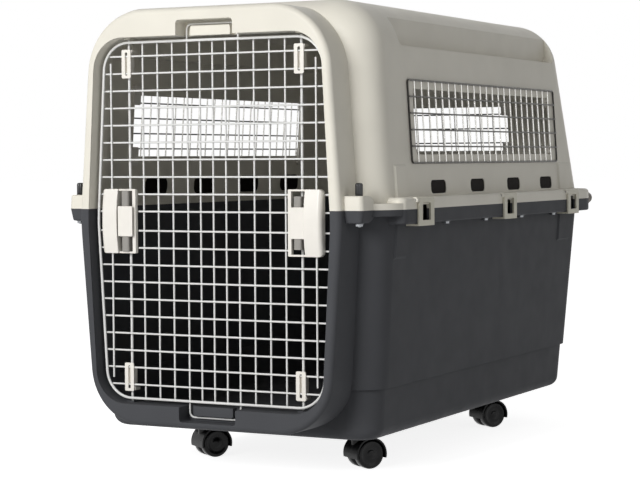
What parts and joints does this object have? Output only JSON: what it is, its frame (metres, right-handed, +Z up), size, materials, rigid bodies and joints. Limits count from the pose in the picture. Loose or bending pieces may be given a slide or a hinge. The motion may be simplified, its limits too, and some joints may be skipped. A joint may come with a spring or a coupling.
{
  "type": "pet transport carrier",
  "caption": "Two-part moulded travel kennel with a wire door, sliding rod locks, wire windows, side clips and swivel casters.",
  "frame": {"origin": "middle of the carrier's footprint on the floor", "axes": "+X to the right seen from the door, +Y from the door to the back, +Z up"},
  "size_m": [0.5556, 0.917, 0.6945],
  "materials": {
    "cream_shell": "satin moulded",
    "grey_shell": "satin moulded",
    "coated_wire": "powder coated",
    "zinc_steel": "zinc plated",
    "lock_rod_steel": "powder coated",
    "grey_sleeve": "moulded",
    "black_knob": "moulded",
    "chrome_wire": "plated",
    "white_moulding": "moulded",
    "clip_moulding": "moulded",
    "black_moulding": "moulded",
    "caster_wheel": "moulded",
    "caster_black": "moulded"
  },
  "bodies": {
    "carrier": {"upper_shell": "cream_shell", "lower_shell": "grey_shell", "clip_pins": "zinc_steel", "knob_bolts": "black_knob", "lug_nuts": "zinc_steel", "flange_screws": "zinc_steel", "corner_studs": "zinc_steel", "left_window_grille": "chrome_wire", "right_window_grille": "chrome_wire", "rear_window_grille": "chrome_wire", "window_retainers": "white_moulding", "vent_inserts": "black_moulding", "front_left_caster_plate": "caster_black", "front_right_caster_plate": "caster_black", "rear_left_caster_plate": "caster_black", "rear_right_caster_plate": "caster_black"},
    "door": {"door_frame_wire": "coated_wire", "door_row_wires": "coated_wire", "door_column_wires": "coated_wire", "door_loop_wire": "coated_wire", "rod_guides": "white_moulding", "left_latch_housing": "white_moulding", "right_latch_housing": "white_moulding", "left_upper_latch_spring": "zinc_steel", "left_lower_latch_spring": "zinc_steel", "right_upper_latch_spring": "zinc_steel", "right_lower_latch_spring": "zinc_steel"},
    "left_tab": {"left_latch_tab": "white_moulding"},
    "left_upper_rod": {"left_upper_lock_rod": "lock_rod_steel", "left_upper_rod_sleeve": "grey_sleeve"},
    "left_lower_rod": {"left_lower_lock_rod": "lock_rod_steel", "left_lower_rod_sleeve": "grey_sleeve"},
    "right_tab": {"right_latch_tab": "white_moulding"},
    "right_upper_rod": {"right_upper_lock_rod": "lock_rod_steel", "right_upper_rod_sleeve": "grey_sleeve"},
    "right_lower_rod": {"right_lower_lock_rod": "lock_rod_steel", "right_lower_rod_sleeve": "grey_sleeve"},
    "left_clip_1_body": {"left_clip_1": "clip_moulding"},
    "right_clip_1_body": {"right_clip_1": "clip_moulding"},
    "left_clip_2_body": {"left_clip_2": "clip_moulding"},
    "right_clip_2_body": {"right_clip_2": "clip_moulding"},
    "left_clip_3_body": {"left_clip_3": "clip_moulding"},
    "right_clip_3_body": {"right_clip_3": "clip_moulding"},
    "front_left_swivel": {"front_left_caster_hood": "caster_black", "front_left_caster_axle": "zinc_steel"},
    "front_left_wheels": {"front_left_caster_wheels": "caster_wheel"},
    "front_right_swivel": {"front_right_caster_hood": "caster_black", "front_right_caster_axle": "zinc_steel"},
    "front_right_wheels": {"front_right_caster_wheels": "caster_wheel"},
    "rear_left_swivel": {"rear_left_caster_hood": "caster_black", "rear_left_caster_axle": "zinc_steel"},
    "rear_left_wheels": {"rear_left_caster_wheels": "caster_wheel"},
    "rear_right_swivel": {"rear_right_caster_hood": "caster_black", "rear_right_caster_axle": "zinc_steel"},
    "rear_right_wheels": {"rear_right_caster_wheels": "caster_wheel"}
  },
  "joints": [
    {"name": "door_swing", "type": "hinge", "parent": "carrier", "child": "door", "pos_m": [-0.1436, -0.4313, 0.3767], "axis": [0, 0, -1], "range_deg": [0, 105]},
    {"name": "left_tab_slide", "type": "slide", "parent": "door", "child": "left_tab", "axis": [-1, 0, 0], "range_m": [0, 0.0035]},
    {"name": "left_upper_rod_slide", "type": "slide", "parent": "door", "child": "left_upper_rod", "axis": [0, 0, -1], "range_m": [0, 0.007], "deforming": ["left_upper_latch_spring"]},
    {"name": "left_lower_rod_slide", "type": "slide", "parent": "door", "child": "left_lower_rod", "axis": [0, 0, 1], "range_m": [0, 0.007], "deforming": ["left_lower_latch_spring"]},
    {"name": "right_tab_slide", "type": "slide", "parent": "door", "child": "right_tab", "axis": [-1, 0, 0], "range_m": [0, 0.0035]},
    {"name": "right_upper_rod_slide", "type": "slide", "parent": "door", "child": "right_upper_rod", "axis": [0, 0, 1], "range_m": [0, 0.007], "deforming": ["right_upper_latch_spring"]},
    {"name": "right_lower_rod_slide", "type": "slide", "parent": "door", "child": "right_lower_rod", "axis": [0, 0, -1], "range_m": [0, 0.007], "deforming": ["right_lower_latch_spring"]},
    {"name": "left_clip_1_hinge", "type": "hinge", "parent": "carrier", "child": "left_clip_1_body", "pos_m": [-0.27355, -0.3025, 0.40725], "axis": [0, 1, 0], "range_deg": [0, 100]},
    {"name": "right_clip_1_hinge", "type": "hinge", "parent": "carrier", "child": "right_clip_1_body", "pos_m": [0.27355, -0.3025, 0.40725], "axis": [0, -1, 0], "range_deg": [0, 100]},
    {"name": "left_clip_2_hinge", "type": "hinge", "parent": "carrier", "child": "left_clip_2_body", "pos_m": [-0.27355, 0.0235, 0.40725], "axis": [0, 1, 0], "range_deg": [0, 100]},
    {"name": "right_clip_2_hinge", "type": "hinge", "parent": "carrier", "child": "right_clip_2_body", "pos_m": [0.27355, 0.0235, 0.40725], "axis": [0, -1, 0], "range_deg": [0, 100]},
    {"name": "left_clip_3_hinge", "type": "hinge", "parent": "carrier", "child": "left_clip_3_body", "pos_m": [-0.27355, 0.3165, 0.40725], "axis": [0, 1, 0], "range_deg": [0, 100]},
    {"name": "right_clip_3_hinge", "type": "hinge", "parent": "carrier", "child": "right_clip_3_body", "pos_m": [0.27355, 0.3165, 0.40725], "axis": [0, -1, 0], "range_deg": [0, 100]},
    {"name": "front_left_swivel", "type": "hinge", "parent": "carrier", "child": "front_left_swivel", "pos_m": [-0.1345, -0.2415, 0.05], "axis": [0, 0, 1], "continuous": true},
    {"name": "front_left_roll", "type": "hinge", "parent": "front_left_swivel", "child": "front_left_wheels", "pos_m": [-0.12704, -0.23085, 0.022], "axis": [0.8192, -0.5736, 0], "continuous": true},
    {"name": "front_right_swivel", "type": "hinge", "parent": "carrier", "child": "front_right_swivel", "pos_m": [0.1345, -0.2415, 0.05], "axis": [0, 0, 1], "continuous": true},
    {"name": "front_right_roll", "type": "hinge", "parent": "front_right_swivel", "child": "front_right_wheels", "pos_m": [0.14196, -0.23085, 0.022], "axis": [0.8192, -0.5736, 0], "continuous": true},
    {"name": "rear_left_swivel", "type": "hinge", "parent": "carrier", "child": "rear_left_swivel", "pos_m": [-0.1345, 0.2485, 0.05], "axis": [0, 0, 1], "continuous": true},
    {"name": "rear_left_roll", "type": "hinge", "parent": "rear_left_swivel", "child": "rear_left_wheels", "pos_m": [-0.12704, 0.25915, 0.022], "axis": [0.8192, -0.5736, 0], "continuous": true},
    {"name": "rear_right_swivel", "type": "hinge", "parent": "carrier", "child": "rear_right_swivel", "pos_m": [0.1345, 0.2485, 0.05], "axis": [0, 0, 1], "continuous": true},
    {"name": "rear_right_roll", "type": "hinge", "parent": "rear_right_swivel", "child": "rear_right_wheels", "pos_m": [0.14196, 0.25915, 0.022], "axis": [0.8192, -0.5736, 0], "continuous": true}
  ],
  "couplings": [
    {"joint": "left_upper_rod_slide", "follows": "left_tab_slide", "ratio": 2},
    {"joint": "left_lower_rod_slide", "follows": "left_tab_slide", "ratio": 2},
    {"joint": "right_upper_rod_slide", "follows": "right_tab_slide", "ratio": 2},
    {"joint": "right_lower_rod_slide", "follows": "right_tab_slide", "ratio": 2}
  ]
}
